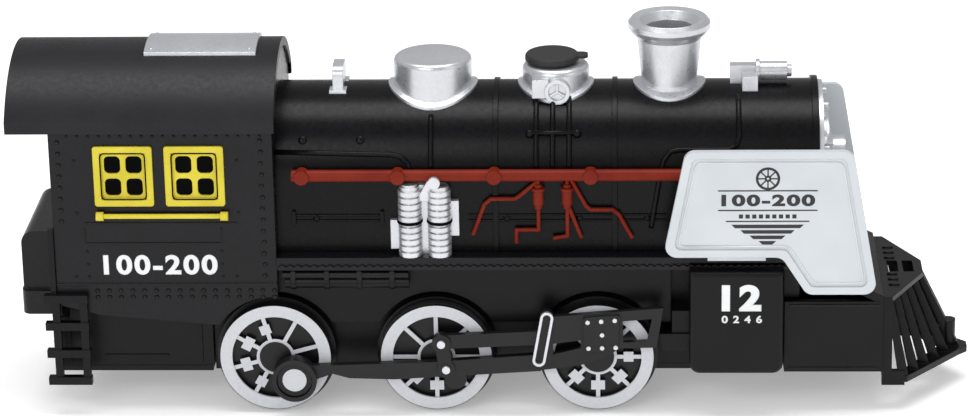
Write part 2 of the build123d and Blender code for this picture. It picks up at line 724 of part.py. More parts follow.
filler = rod_z(filler_x, 0, filler_radius, fitting_base_z, filler_top)
filler = fillet(filler.faces().sort_by(Axis.Z)[-1].edges(), 1.6)
filler = on_boiler(filler, filler_x) + saddle(filler_x, filler_radius + 1.1)
wheel_y = -7.2
wheel_z = 78.6
side_boss = rod_y(filler_x + 0.5, wheel_z, 3.1, wheel_y, wheel_y - 2.6)
side_boss = side_boss - rod_y(filler_x + 0.5, wheel_z, 2.1, wheel_y - 1.9, wheel_y - 3)
for angle in (90, 210, 330):
    spoke = block(0, 2.4, wheel_y - 2.4, wheel_y - 1.2, -0.3, 0.3)
    side_boss = side_boss + Pos(filler_x + 0.5, 0, wheel_z) * Rot(0, -angle, 0) * spoke
bracket = block(filler_x - 5.6, filler_x - 1.6, -9.4, -5.0, 77.0, 81.6)
filler = filler + on_boiler(side_boss + bracket, filler_x)
filler = filler - rod_z(filler_x, 0, plug_stem_radius + 0.2, 60, 100)
save("filler_base", filler)

plug = rod_z(plug_x, 0, plug_radius - 0.9, filler_top + 0.05, filler_top + 1.0)
cap = rod_z(plug_x, 0, plug_radius, filler_top + 0.8, plug_top)
cap = fillet(cap.faces().sort_by(Axis.Z)[-1].edges(), 0.9)
tab = fillet(block(plug_x, plug_x + plug_radius + 2.2, -1.9, 1.9, filler_top + 1.3, plug_top - 0.4)
             .edges().filter_by(Axis.Z), 1.4)
plug = plug + cap + tab + rod_z(filler_x, 0, plug_stem_radius, 76.0, filler_top + 1)
save("filler_plug", plug)

whistle = block(-39.3, -36.7, -4.6, 4.6, boiler_top - 1.6, boiler_top + 5.4)
whistle = fillet(whistle.edges().filter_by(Axis.X).group_by(Axis.Z)[-1], 2.4)
whistle = whistle + block(-40.1, -35.9, -5.8, 5.8, boiler_top - 2.6, boiler_top - 0.1)
save("whistle", on_boiler(whistle, -37.7))

generator_z = 80.9
generator = rod_x(0, generator_z, 2.3, 64.2, 71.6) + rod_x(0, generator_z, 2.9, 64.0, 64.9)
generator = generator + rod_x(0, generator_z, 1.5, 71.6, 72.7)
generator = generator + block(57.7, 64.0, -1.6, 1.6, boiler_top - 0.8, 82.6)
generator = generator + block(60.6, 64.4, -5.4, -1.0, boiler_top - 1.8, 81.0)
save("turbo_generator", on_boiler(generator, 65.0))


# ---------- smokebox front and headlamp ----------

door_face = boiler_front + 1.2
front = boiler_drum(boiler_radius - 0.3, boiler_front, door_face)
front = front + boiler_drum(boiler_radius - boiler_wall - slide_clear, boiler_front - 2.0, boiler_front)
front = front + boiler_drum(12.4, door_face, door_face + 0.9) + boiler_drum(10.6, door_face, door_face + 1.6)
for z in (boiler_axis_z - 6.5, boiler_axis_z + 6.5):
    front = front + block(door_face, door_face + 2.2, -14.5, 0, z - 0.9, z + 0.9)
for number in range(8):
    angle = math.radians(22.5 + 45 * number)
    y = 15.2 * math.cos(angle)
    z = boiler_axis_z + 15.2 * math.sin(angle)
    front = front + rod_x(y, z, 0.9, door_face, door_face + 1.3)
lamp_rear = door_face + 1.6
lamp_front = lamp_rear + 4.2
lamp_radius = 4.4
front = front - boiler_drum(2.7, boiler_front - 3, lamp_rear + 1)
save("smokebox_front", front)
bezel = boiler_drum(lamp_radius, lamp_rear, lamp_front) - boiler_drum(lamp_radius - 0.9, lamp_rear - 1, lamp_front + 1)
save("headlamp_bezel", bezel)
save("headlamp_lens", boiler_drum(lamp_radius - 0.9, lamp_front - 1.4, lamp_front - 0.2))
led = boiler_drum(2.4, boiler_front - 1.0, lamp_front - 2.6)
save("led_lamp", led)


# ---------- pipes, pump ----------

def side_point(x, z, away):
    """A point beside the right boiler wall."""
    return x, -away, z


def side_pipe_run(points, away, radius):
    """A pipe that follows the right boiler wall."""
    return pipe([side_point(x, z, away) for x, z in points], radius)


rail_away = boiler_radius + band_rise + rail_radius + 0.05
red = rod_x(-rail_away, rail_z, rail_radius, rail_rear, rail_front)
for number in range(4):
    x = -46.1 + 23.3 * number
    red = red + rod_y(x, rail_z, rail_radius + 0.35, -boiler_radius - 0.8, -rail_away - rail_radius - 0.5)
pipe_away = boiler_radius + pipe_radius + 0.6
red = red + side_pipe_run([(12.4, 60.6), (6.7, 55.7), (5.4, 54.8), (-0.4, 54.8), (-2.0, 53.4), (-4.9, 45.5)],
                          pipe_away, pipe_radius)
red = red + side_pipe_run([(18.6, 60.6), (22.6, 53.0), (23.7, 52.0), (29.1, 52.0), (30.5, 50.9), (33.8, 44.7)],
                          pipe_away, pipe_radius)
red = red + side_pipe_run([(11.1, 60.6), (11.1, 46.8), (5.7, 46.8), (5.7, 43.4)], pipe_away, pipe_radius)
red = red + side_pipe_run([(18.1, 60.6), (18.1, 45.2), (14.6, 44.6)], pipe_away, pipe_radius)
red = red + side_pipe_run([(18.4, 53.0), (21.5, 44.7)], pipe_away, pipe_radius)
for x in (11.1, 18.1):
    red = red + rod_z(x, -pipe_away, 1.55, 56.9, 57.7) + rod_z(x, -pipe_away, 1.3, 53.4, 57.0)
    red = red + rod_z(x, -pipe_away, 0.95, 52.4, 58.6)
red = red - block(rail_rear, rail_front, -boiler_radius, 0, board_top, boiler_axis_z)
save("red_pipework", both(red))


def pump_column(x):
    """Two stacks of cooling rings with a cap."""
    column = rod_z(x, -pump_centre, pump_radius - 0.5, board_top, 58.7)
    for base in (board_top, 49.9):
        for number in range(5):
            z = base + 0.1 + 1.62 * number
            column = column + rod_z(x, -pump_centre, pump_radius, z, z + 1.2)
    return column


pump = pump_column(pump_rear_x) + pump_column(pump_front_x)
pump = pump + rod_z(pump_rear_x, -pump_centre, 2.0, 58.7, 59.2)
pump = pump + block(pump_rear_x, pump_front_x, -pump_centre + 0.4, -boiler_radius, board_top, 58.7)
pump = pump + side_plate([(-18.5, 55.0), (-14.5, 55.0), (-13.2, 60.2), (-15.6, 60.2)], boiler_radius, 21.6)
pump = pump + block(-24.9, -22.0, -20.0, -boiler_radius, 42.1, 49.6)
pump = pump + block(-11.0, -8.2, -20.0, -boiler_radius, 45.5, 54.5)
pump = pump + rod_y(-14.0, 60.0, 1.5, -rail_away - rail_radius - 0.1, -rail_away - rail_radius - 1.2)
pump = pump - block(-40, 0, -boiler_radius, 0, 0, 100)
pump = pump - rod_x(-rail_away, rail_z, rail_radius + 0.05, -40, 0)
save("air_pumps", both(pump))


# ---------- cab ----------

cab_profile = [
    (cab_rear, cab_eave), (cab_rear, 28.6), (-96.8, 25.9), (-68.6, 23.3), (cab_front, 23.3), (cab_front, cab_eave),
]
cab_solid = side_plate(cab_profile, -cab_half, cab_half)
gable_radius = roof_radius - roof_thick - slide_clear
gable = rod_x(0, roof_centre_z, gable_radius, cab_rear, cab_front)
gable = gable & block(cab_rear, cab_front, -cab_half + 1.2, cab_half - 1.2, cab_eave, 100)
cab_inside = block(cab_rear + cab_wall, cab_front - cab_wall, -cab_half + cab_wall, cab_half - cab_wall, 0, 100)
cab = cab_solid + gable - cab_inside
cab = cab - rod_y(rear_axle_x, axle_height, arch_radius, -30, 30)
pass_half = skirt_outer + slide_clear
cab = cab - block(cab_front - 3, cab_front + 1, -pass_half, pass_half, 0, deck_top + slide_clear)
cab = cab - block(cab_rear - 1, cab_rear + 3, -case_half - slide_clear, case_half + slide_clear, 0, case_low_top + 0.3)
for x in (window_rear_x, window_front_x):
    opening = block(x + window_reveal, x + window_width - window_reveal, -30, 30,
                    window_low + window_reveal, window_low + window_height - window_reveal)
    cab = cab - opening
ledge = side_plate([(cab_rear, 33.7), (cab_front, 33.7), (cab_front, 34.3), (cab_rear, 34.3)],
                   cab_half, cab_half + 0.35)
cab = cab + ledge + left_of(ledge)
save("cab_shell", cab)


def window_frame(x):
    """A yellow window with a raised frame and four rounded panes."""
    outer = block(x, x + window_width, -cab_half - 0.7, -cab_half, window_low, window_low + window_height)
    outer = fillet(outer.edges().filter_by(Axis.Y), 0.7)
    sash = block(x + window_reveal + 0.1, x + window_width - window_reveal - 0.1, -cab_half, -cab_half + 0.7,
                 window_low + window_reveal + 0.1, window_low + window_height - window_reveal - 0.1)
    frame = outer + sash
    recess = block(x + 1.7, x + window_width - 1.7, -cab_half - 1, -cab_half - 0.1,
                   window_low + 1.7, window_low + window_height - 1.7)
    frame = frame - recess
    pane_w = (window_width - 2 * 2.6 - 1.3) / 2
    pane_h = (window_height - 2 * 2.6 - 1.3) / 2
    for column in range(2):
        for row in range(2):
            px = x + 2.6 + column * (pane_w + 1.3)
            pz = window_low + 2.6 + row * (pane_h + 1.3)
            pane = block(px, px + pane_w, -cab_half - 2, -cab_half + 2, pz, pz + pane_h)
            frame = frame - fillet(pane.edges().filter_by(Axis.Y), 1.2)
    return frame


frames = [solid for x in (window_rear_x, window_front_x) for solid in solids_of(both(window_frame(x)))]
save("window_frames", Compound(children=frames))

grab_away = cab_half + 1.1
grab = rod_x(-grab_away, 52.1, 0.6, -95.6, -64.5)
for x in (-95.2, -64.9):
    grab = grab + rod_x(-grab_away, 52.1, 1.1, x - 0.9, x + 0.9)
    grab = grab + rod_y(x, 52.1, 0.7, -cab_half, -grab_away)
save("cab_grab_rails", both(grab))

eave_z = roof_centre_z + math.sqrt(roof_radius ** 2 - roof_half ** 2)
roof = rod_x(0, roof_centre_z, roof_radius, roof_rear, roof_front)
roof = roof & block(roof_rear, roof_front, -roof_half, roof_half, 73.2, 100)
under = rod_x(0, roof_centre_z, roof_radius - roof_thick, roof_rear - 1, roof_front + 1)
under = under + block(roof_rear - 1, roof_front + 1, -cab_half - 0.1, cab_half + 0.1, 60, 76.6)
under = under & block(roof_rear - 1, roof_front + 1, -cab_half - 0.1, cab_half + 0.1, 60, 100)
save("cab_roof", roof - under)

hatch = rod_x(0, roof_centre_z, roof_radius + hatch_rise, -84.8, -57.5) - rod_x(0, roof_centre_z, roof_radius, -90, -50)
save("roof_hatch", hatch & block(-84.8, -57.5, -8.0, 8.0, 80, 100))


# ---------- ladders, rear beam ----------

ladder_in = cab_half + 0.4
ladder_out = cab_half + 2.2
ladder = None
for x in (-108.2, -101.4):
    rail_bar = block(x, x + 1.9, -ladder_out + 0.4, -ladder_in, 9.0, 31.6)
    ladder = rail_bar if ladder is None else ladder + rail_bar
for number in range(4):
    z = 8.2 + 7.2 * number
    ladder = ladder + block(-110.0, -99.3, -ladder_out, -ladder_in + 0.2, z, z + 2.0)
ladder = ladder + block(-108.2, -99.5, -ladder_in, -cab_half, 29.8, 31.6)
ladder = ladder + block(-108.4, -107.05, -ladder_in - 0.4, -cab_half + 1.2, 31.0, 48.5)
save("ladders", both(ladder - block(-120, -80, -cab_half, 0, 0, 29.8)))

beam = side_plate([(-116.4, 26.0), (-107.0, 26.0), (-107.0, 45.2), (-116.4, 45.2)], -15.7, 15.7)
beam = fillet(beam.edges().filter_by(Axis.Y).group_by(Axis.X)[0], 3.0)
lip = block(-116.9, -107.0, -17.0, 17.0, 23.9, 30.0)
lip = fillet(lip.edges().filter_by(Axis.Z).group_by(Axis.X)[0], 2.2)
beam = beam + lip - block(-115.0, -106.9, -14.2, 14.2, 26.3, 43.8)
coupling_radius = 1.6
coupling_x = -112.4
save("rear_beam", beam - rod_z(coupling_x, 0, coupling_radius, 20, 27))


# ---------- front end ----------

plate_points = [(41.2, 42.2), (46.6, 69.2), (86.6, 69.2), (93.0, 32.6), (75.9, 32.6), (69.8, 42.2)]
plate_inner = plate_outer - plate_thick - plate_rim_rise
plate_solid = side_plate(plate_points, plate_inner, plate_outer - plate_rim_rise, 2.8)
rim_outer = side_plate(plate_points, plate_inner, plate_outer, 2.8)
rim_points = [(43.8, 44.1), (48.3, 67.3), (84.9, 67.3), (90.7, 34.5), (77.0, 34.5), (70.9, 44.1)]
rim_cut = side_plate(rim_points, plate_outer - plate_rim_rise, plate_outer + 1, 1.6)
plate = plate_solid + (rim_outer - rim_cut)
for x in (56.0, 68.0):
    plate = plate + block(x, x + 3, -plate_inner, -boiler_radius, 58.0, 60.0)
plate = plate + block(52.0, 66.0, -plate_inner, -20.5, board_top, board_top + 2.4)
plate = plate + block(78.0, 84.0, -plate_inner, -front_box_half, 34.0, 36.0)
save("deflector_right", plate)
save("deflector_left", left_of(plate))

cylinder = block(cylinder_rear, cylinder_front, -cylinder_outer, -channel_outer, cylinder_low, cylinder_high)
cylinder = fillet(cylinder.edges().filter_by(Axis.Y).group_by(Axis.Z)[0], 2.6)
cylinder = fillet(cylinder.faces().sort_by(Axis.Y)[0].edges(), 1.2)
cylinder = cylinder - block(cylinder_rear - 1, cylinder_front + 1, -skirt_outer - 0.3, 0, deck_bottom - 0.2, 60)
guide = block(40.4, cylinder_rear + 0.2, -23.3, -channel_outer, 16.4, 21.0)
guide = guide + block(43.4, cylinder_rear + 0.2, -22.6, -channel_outer, 21.0, 26.8)
guide = guide - rod_y(front_axle_x, axle_height, arch_radius, -30, 0)
cylinder = cylinder + guide
save("cylinder_block_right", cylinder)
save("cylinder_block_left", left_of(cylinder))

box = block(front_box_rear, front_box_front, -front_box_half, front_box_half, front_box_low, front_box_high)
box = box - block(front_box_rear + 1.6, front_box_front - 1.6, -front_box_half + 1.6, front_box_half - 1.6,
                  front_box_low + 1.6, front_box_high + 1)
save("front_box", box)

apron_rear = board_front + slide_clear
apron_points = [
    (apron_rear, board_top), (apron_rear, board_top - 2.0), (92.8, front_box_high + 0.02),
    (front_box_front, front_box_high + 0.02), (front_box_front, front_box_high + 1.4),
]
apron = side_plate(apron_points, -front_box_half, front_box_half)
apron = apron + block(channel_front + 0.1, apron_rear + 1.6, -front_box_half + 2.5, front_box_half - 2.5,
                      front_box_high + 0.02, deck_top - 0.1)
save("front_apron", apron)


shelf_z = 28.4
base_z = 7.3
shelf = top_plate([(front_box_front, -21.0), (97.0, -21.0), (105.6, -4.0), (105.6, 4.0), (97.0, 21.0),
                   (front_box_front, 21.0)], shelf_z, shelf_z + 1.3)
shelf = shelf - block(97.0, 103.4, -3.8, 3.8, shelf_z - 1, shelf_z + 2)
shelf = shelf + block(99.6, 100.8, -3.8, 3.8, shelf_z, shelf_z + 1.3)
base = top_plate([(front_box_front + 1.5, -21.0), (101.0, -21.0), (115.2, -3.4), (pilot_tip, -1.4),
                  (pilot_tip, 1.4), (115.2, 3.4), (101.0, 21.0), (front_box_front + 1.5, 21.0),
                  (front_box_front + 1.5, 17.5), (99.6, 17.5), (111.0, 0.0), (99.6, -17.5),
                  (front_box_front + 1.5, -17.5)], base_z, base_z + 1.6)
pilot = shelf + base
for side in (-1, 1):
    pilot = pilot + block(front_box_front, 97.2, side * 21.0, side * 19.2, base_z - 0.8, shelf_z + 0.4)
    pilot = pilot + block(97.2, 100.4, side * 21.0, side * 19.6, base_z - 0.8, base_z + 3.0)
slat_count = 6
for number in range(slat_count):
    share = number / (slat_count - 1)
    y_top = -20.0 + share * 18.2
    x_top = 96.4 + share * 8.2
    y_low = -20.2 + share * 19.2
    x_low = 100.2 + share * 14.2
    for side in (1, -1):
        low = Plane(origin=(x_low, side * y_low, base_z + 0.8), x_dir=(1, 0, 0), z_dir=(0, 0, 1))
        high = Plane(origin=(x_top, side * y_top, shelf_z + 0.6), x_dir=(1, 0, 0), z_dir=(0, 0, 1))
        foot_face = low * Rectangle(2.6, 0.9)
        head_face = high * Rectangle(1.6, 0.9)
        pilot = pilot + loft([foot_face.faces()[0], head_face.faces()[0]])
back_plate = block(front_box_front, front_box_front + 1.5, -21.0, 21.0, base_z + 1.0, shelf_z)
pilot = pilot + back_plate
coupler = rod_z(112.4, 0, 1.9, base_z + 1.6, 15.6) + block(104.0, 112.4, -1.3, 1.3, 11.5, 13.5)
coupler = coupler + block(front_box_front + 1, 105.0, -1.3, 1.3, 11.5, 13.5)
pilot = pilot + coupler
save("pilot", pilot)
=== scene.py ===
"""Looks of a plastic toy steam locomotive, built round its CAD frame.

Shapes are written in millimetres, and mesh_of() turns them into metres.
"""
import json
import math

import bpy
from mathutils import Matrix, Vector


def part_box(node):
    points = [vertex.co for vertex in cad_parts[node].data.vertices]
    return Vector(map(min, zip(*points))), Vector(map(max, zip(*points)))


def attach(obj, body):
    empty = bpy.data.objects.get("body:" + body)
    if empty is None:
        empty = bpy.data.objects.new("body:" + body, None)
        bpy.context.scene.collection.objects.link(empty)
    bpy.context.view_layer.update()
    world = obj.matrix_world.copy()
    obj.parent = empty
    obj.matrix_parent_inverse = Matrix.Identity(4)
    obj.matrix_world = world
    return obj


MM = 0.001
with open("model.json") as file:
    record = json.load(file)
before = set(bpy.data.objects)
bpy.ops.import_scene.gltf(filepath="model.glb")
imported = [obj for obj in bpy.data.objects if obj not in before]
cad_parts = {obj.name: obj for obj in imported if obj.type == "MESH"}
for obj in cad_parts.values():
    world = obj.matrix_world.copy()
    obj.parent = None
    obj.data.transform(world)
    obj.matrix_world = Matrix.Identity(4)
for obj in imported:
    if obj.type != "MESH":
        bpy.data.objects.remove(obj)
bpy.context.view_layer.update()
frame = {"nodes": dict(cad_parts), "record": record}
nodes = frame["nodes"]


def low_high(name):
    """A node's corners in millimetres."""
    low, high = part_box(name)
    return Vector(low) / MM, Vector(high) / MM


# ---------- places, taken from the frame ----------

cab_low, cab_high = low_high("cab_shell")
frames_low, frames_high = low_high("window_frames")
hatch_low, hatch_high = low_high("roof_hatch")
case_low, case_high = low_high("battery_case")
boiler_high = low_high("boiler_shell")[1]
deck_high = low_high("running_board")[1]
roof_high = low_high("cab_roof")[1]
front_high = low_high("front_box")[1]
plate_low = low_high("deflector_right")[0]
block_low = low_high("cylinder_block_right")[0]

# ---------- sizes that the frame doesn't give ----------

CAB_TRIM = 0.35  # the cab's own trim, out from its side wall
CAB_SIDE = cab_high.y - CAB_TRIM
WINDOW_WIDTH = 14.4  # over one window frame
BOILER_R = 18.4
BOILER_RING_R = 19.1  # the ring at the boiler's front end, its highest part
BOILER_Z = boiler_high.z - BOILER_RING_R
BOARD_TOP = deck_high.z
BOARD_SIDE = deck_high.y
ROOF_R = 28.8
PLATE_RIM = 0.5  # how far a side plate's rim stands out of its face
PLATE_FACE = abs(plate_low.y) - PLATE_RIM
PRINT_GAP = 0.02  # keeps a printed mark just clear of its wall
OUTWARD = (0, -1, 0)  # out of the right-hand side

AXLE_Z = 14.7
CRANK_OFFSET = (4.83, -4.5)  # from the rear axle to its crank pin
CRANK_EYE_R = 2.95
WHEEL_HUB_R = 3.97
WHEEL_PRINT_R = 13.62  # the printed faces end just inside the tread
# How far out from the middle of the train the print begins and ends.
SPOKE_OUT = 22.35  # just inside the spokes' faces
RIM_OUT = 23.1  # just outside the rim's face
BOSS_OUT = 23.6  # just inside the crank boss's end

# In metres, as the shaders have them.
EDGE_ROUND = 0.0003
GRAIN_HEIGHT = 0.000018


# ---------- material nodes ----------

materials = {}


def new_material(name):
    """A node material, with its tree, its shader and its object coordinates."""
    material = bpy.data.materials.new(name)
    material.use_nodes = True
    materials[name] = material
    tree = material.node_tree
    shader = tree.nodes["Principled BSDF"]
    coords = tree.nodes.new("ShaderNodeTexCoord")
    return material, tree, shader, coords.outputs["Object"]


def noise(tree, coords, scale, detail=3.0, roughness=0.55):
    """A noise pattern; scale is in cycles per metre."""
    node = tree.nodes.new("ShaderNodeTexNoise")
    node.inputs["Scale"].default_value = scale
    node.inputs["Detail"].default_value = detail
    node.inputs["Roughness"].default_value = roughness
    tree.links.new(coords, node.inputs["Vector"])
    return node.outputs["Fac"]


def map_range(tree, value, low, high, out_low, out_high):
    """Maps a value onto a new range."""
    node = tree.nodes.new("ShaderNodeMapRange")
    node.inputs["From Min"].default_value = low
    node.inputs["From Max"].default_value = high
    node.inputs["To Min"].default_value = out_low
    node.inputs["To Max"].default_value = out_high
    tree.links.new(value, node.inputs["Value"])
    return node.outputs["Result"]


def mix_colour(tree, factor, first, second):
    """A colour between two, by a factor socket. Either colour may be a socket."""
    node = tree.nodes.new("ShaderNodeMix")
    node.data_type = "RGBA"
    factor_socket, first_socket, second_socket = node.inputs[0], node.inputs[6], node.inputs[7]
    tree.links.new(factor, factor_socket)
    for socket, colour in ((first_socket, first), (second_socket, second)):
        if isinstance(colour, tuple):
            socket.default_value = (*colour, 1.0)
        else:
            tree.links.new(colour, socket)
    return node.outputs[2]


def math_node(tree, operation, first, second=None):
    """One math node; arguments are sockets or numbers."""
    node = tree.nodes.new("ShaderNodeMath")
    node.operation = operation
    for socket, value in zip(node.inputs, (first, second)):
        if value is None:
            continue
        if isinstance(value, (int, float)):
            socket.default_value = value
        else:
            tree.links.new(value, socket)
    return node.outputs[0]


def bump(tree, height, distance, strength):
    """A bump from a height pattern; distance is in metres."""
    node = tree.nodes.new("ShaderNodeBump")
    node.inputs["Distance"].default_value = distance
    node.inputs["Strength"].default_value = strength
    tree.links.new(height, node.inputs["Height"])
    return node.outputs["Normal"]


def moulded(name, colour, lit, roughness, grain=5200.0, grain_height=GRAIN_HEIGHT, metallic=0.0,
            gleam=0.5):
    """Moulded or painted plastic: fine grain, uneven gloss and a slight change of tone.

    The tone runs from colour to lit, grain is in cycles per metre, and gleam is the specular level.
    """
    patch = 90.0
    material, tree, shader, coords = new_material(name)
    fine = noise(tree, coords, grain, 4.0, 0.6)
    broad = noise(tree, coords, patch, 3.0, 0.5)
    middle = noise(tree, coords, patch * 9, 3.0, 0.6)
    tone = map_range(tree, broad, 0.35, 0.68, 0.0, 1.0)
    tree.links.new(mix_colour(tree, tone, colour, lit), shader.inputs["Base Color"])
    gloss = map_range(tree, middle, 0.3, 0.7, roughness - 0.05, roughness + 0.06)
    tree.links.new(gloss, shader.inputs["Roughness"])
    grain_bump = bump(tree, fine, grain_height, 0.5)
    edge = tree.nodes.new("ShaderNodeBevel")
    edge.samples = 4
    edge.inputs["Radius"].default_value = EDGE_ROUND
    tree.links.new(edge.outputs["Normal"], grain_bump.node.inputs["Normal"])
    tree.links.new(grain_bump, shader.inputs["Normal"])
    shader.inputs["Specular IOR Level"].default_value = gleam
    shader.inputs["Metallic"].default_value = metallic
    return material


def plain_metal(name, colour, roughness):
    """Bare metal with fine turning marks."""
    material, tree, shader, coords = new_material(name)
    stretch = tree.nodes.new("ShaderNodeMapping")
    stretch.inputs["Scale"].default_value = (1.0, 14.0, 1.0)
    tree.links.new(coords, stretch.inputs["Vector"])
    marks = noise(tree, stretch.outputs["Vector"], 900.0, 4.0, 0.7)
    darker = tuple(0.78 * value for value in colour)
    tone = map_range(tree, marks, 0.35, 0.7, 0.0, 1.0)
    tree.links.new(mix_colour(tree, tone, darker, colour), shader.inputs["Base Color"])
    gloss = map_range(tree, marks, 0.3, 0.7, roughness - 0.06, roughness + 0.1)
    tree.links.new(gloss, shader.inputs["Roughness"])
    tree.links.new(bump(tree, marks, 0.00001, 0.4), shader.inputs["Normal"])
    shader.inputs["Metallic"].default_value = 1.0
    return material


def separate(tree, vector):
    """The X, Y and Z of a vector."""
    node = tree.nodes.new("ShaderNodeSeparateXYZ")
    tree.links.new(vector, node.inputs[0])
    return node.outputs


def distance_from(tree, x, z, centre_x, centre_z):
    """How far a shaded point is, in the side view, from a centre in millimetres."""
    across = math_node(tree, "POWER", math_node(tree, "SUBTRACT", x, centre_x * MM), 2)
    up = math_node(tree, "POWER", math_node(tree, "SUBTRACT", z, centre_z * MM), 2)
    return math_node(tree, "SQRT", math_node(tree, "ADD", across, up))


def wheel_material(name, axle_x, has_eye):
    """A black moulded wheel with its raised faces printed pale grey and a black hub.

    The print is placed by position. With has_eye, the end of the crank boss is printed as well.
    """
    ink = (0.0035, 0.0033, 0.004)
    print_dark = (0.53, 0.54, 0.57)
    print_light = (0.61, 0.62, 0.65)
    material, tree, shader, coords = new_material(name)
    x, y, z = separate(tree, coords)
    out = math_node(tree, "ABSOLUTE", y)
    raised = math_node(tree, "GREATER_THAN", out, SPOKE_OUT * MM)
    radius = distance_from(tree, x, z, axle_x, AXLE_Z)
    outside_hub = math_node(tree, "GREATER_THAN", radius, WHEEL_HUB_R * MM)
    inside_lip = math_node(tree, "LESS_THAN", radius, WHEEL_PRINT_R * MM)
    spokes = math_node(tree, "MULTIPLY", raised, outside_hub)
    printed = math_node(tree, "MULTIPLY", spokes, inside_lip)
    worn = noise(tree, coords, 1500.0, 5.0, 0.7)
    wear = map_range(tree, worn, 0.3, 0.7, 0.0, 1.0)
    print_tone = mix_colour(tree, wear, print_dark, print_light)
    chipped = math_node(tree, "LESS_THAN", worn, 0.74)
    below_boss = math_node(tree, "LESS_THAN", out, RIM_OUT * MM)
    share = math_node(tree, "MULTIPLY", math_node(tree, "MULTIPLY", printed, chipped), below_boss)
    if has_eye:
        pin_x = axle_x + CRANK_OFFSET[0]
        pin_z = AXLE_Z + CRANK_OFFSET[1]
        eye_radius = distance_from(tree, x, z, pin_x, pin_z)
        middle = math_node(tree, "LESS_THAN", eye_radius, CRANK_EYE_R * MM)
        standing = math_node(tree, "GREATER_THAN", out, BOSS_OUT * MM)
        eye = math_node(tree, "MULTIPLY", middle, standing)
        share = math_node(tree, "MAXIMUM", share, eye)
    tree.links.new(mix_colour(tree, share, ink, print_tone), shader.inputs["Base Color"])
    tree.links.new(map_range(tree, share, 0.0, 1.0, 0.34, 0.42), shader.inputs["Roughness"])
    shader.inputs["Specular IOR Level"].default_value = 0.3
    grain = noise(tree, coords, 4200.0)
    tree.links.new(bump(tree, grain, 0.000015, 0.4), shader.inputs["Normal"])
    return material


def matt_rubber(name):
    """Matt black rubber, roughened by a fine pattern."""
    material, tree, shader, coords = new_material(name)
    rough = noise(tree, coords, 2600.0, 2.0, 0.5)
    tone = map_range(tree, rough, 0.3, 0.7, 0.0, 1.0)
    colour = mix_colour(tree, tone, (0.008, 0.008, 0.009), (0.02, 0.02, 0.021))
    tree.links.new(colour, shader.inputs["Base Color"])
    tree.links.new(map_range(tree, rough, 0.3, 0.7, 0.55, 0.75), shader.inputs["Roughness"])
    tree.links.new(bump(tree, rough, 0.00006, 0.6), shader.inputs["Normal"])
    return material


def clear_plastic(name):
    """The headlamp's clear lens, with faint flow marks."""
    material, tree, shader, coords = new_material(name)
    shader.inputs["Base Color"].default_value = (0.93, 0.95, 0.97, 1)
    shader.inputs["Transmission Weight"].default_value = 0.9
    shader.inputs["IOR"].default_value = 1.49
    gloss = map_range(tree, noise(tree, coords, 700.0), 0.3, 0.7, 0.04, 0.1)
    tree.links.new(gloss, shader.inputs["Roughness"])
    tree.links.new(bump(tree, noise(tree, coords, 900.0), 0.00002, 0.3), shader.inputs["Normal"])
    return material


SATIN = 0.24  # the specular level of the black body's plastic
PAINT_GRAIN = 9000.0  # metallic paint is finer than moulded plastic

moulded("black_body", (0.0040, 0.0036, 0.0050), (0.0052, 0.0047, 0.0066), 0.30, gleam=SATIN)
# The boiler's black is darker than the cab's: the plastic's own black with painted shade added, for
# the boiler's lower wall under its overhang.
moulded("black_boiler_painted_shade", (0.0021, 0.0019, 0.0027), (0.0029, 0.0026, 0.0037), 0.29, gleam=0.15)
moulded("black_roof", (0.0085, 0.0081, 0.0102), (0.0112, 0.0107, 0.0134), 0.42, 3800.0, 0.00004,
        gleam=SATIN)
moulded("black_chassis", (0.0026, 0.0023, 0.0031), (0.0036, 0.0032, 0.0043), 0.34, gleam=0.2)
moulded("black_rods", (0.006, 0.0057, 0.0068), (0.009, 0.0085, 0.010), 0.36, gleam=0.3)
moulded("silver_paint", (0.60, 0.61, 0.64), (0.66, 0.67, 0.70), 0.31, PAINT_GRAIN, 0.000012, 0.72)
moulded("plate_paint", (0.58, 0.61, 0.64), (0.62, 0.65, 0.68), 0.42, PAINT_GRAIN, 0.00001, 0.15)
moulded("plate_rim", (0.66, 0.68, 0.71), (0.72, 0.74, 0.77), 0.33, PAINT_GRAIN, 0.00001, 0.45)
moulded("red_paint", (0.150, 0.010, 0.0035), (0.205, 0.019, 0.006), 0.4, gleam=0.13)
moulded("yellow_paint", (0.60, 0.50, 0.030), (0.74, 0.63, 0.055), 0.38, gleam=0.25)
matt_rubber("black_rubber")
plain_metal("steel", (0.55, 0.55, 0.56), 0.3)
moulded("gear_plastic", (0.74, 0.72, 0.64), (0.8, 0.78, 0.70), 0.45)
plain_metal("brass_pinion", (0.76, 0.58, 0.24), 0.28)
moulded("cell_wrap", (0.08, 0.10, 0.14), (0.10, 0.12, 0.17), 0.3)
moulded("circuit_green", (0.02, 0.12, 0.05), (0.03, 0.16, 0.07), 0.35)
clear_plastic("clear_lens")
moulded("lamp_white", (0.85, 0.83, 0.75), (0.9, 0.88, 0.8), 0.35)
moulded("tank_plastic", (0.64, 0.66, 0.66), (0.7, 0.72, 0.72), 0.5)
moulded("white_print", (0.78, 0.79, 0.80), (0.84, 0.85, 0.86), 0.5, 6000.0, 0.000008)
moulded("black_print", (0.012, 0.012, 0.014), (0.018, 0.018, 0.02), 0.45)
# Near-black and barely glossy: painted shade for the cab's dark inside and for the window grooves.
moulded("window_painted_shade", (0.0006, 0.0006, 0.0007), (0.001, 0.001, 0.0011), 0.5, gleam=0.04)
# Near-black and barely glossy: painted shade for the gaps between the pumps' cylinders.
moulded("gap_shade_black", (0.0008, 0.0008, 0.0008), (0.0014, 0.0014, 0.0014), 0.6, gleam=0.05)
for axle in ("rear", "drive", "front"):
    low, high = low_high("wheel_" + axle + "_right")
    wheel_material("wheel_" + axle, (low.x + high.x) / 2, axle == "rear")


def paint(name, material):
    """Gives a CAD node a material."""
    slots = nodes[name].data.materials
    if len(slots) == 0:
        slots.append(materials[material])
    for index in range(len(slots)):
        slots[index] = materials[material]


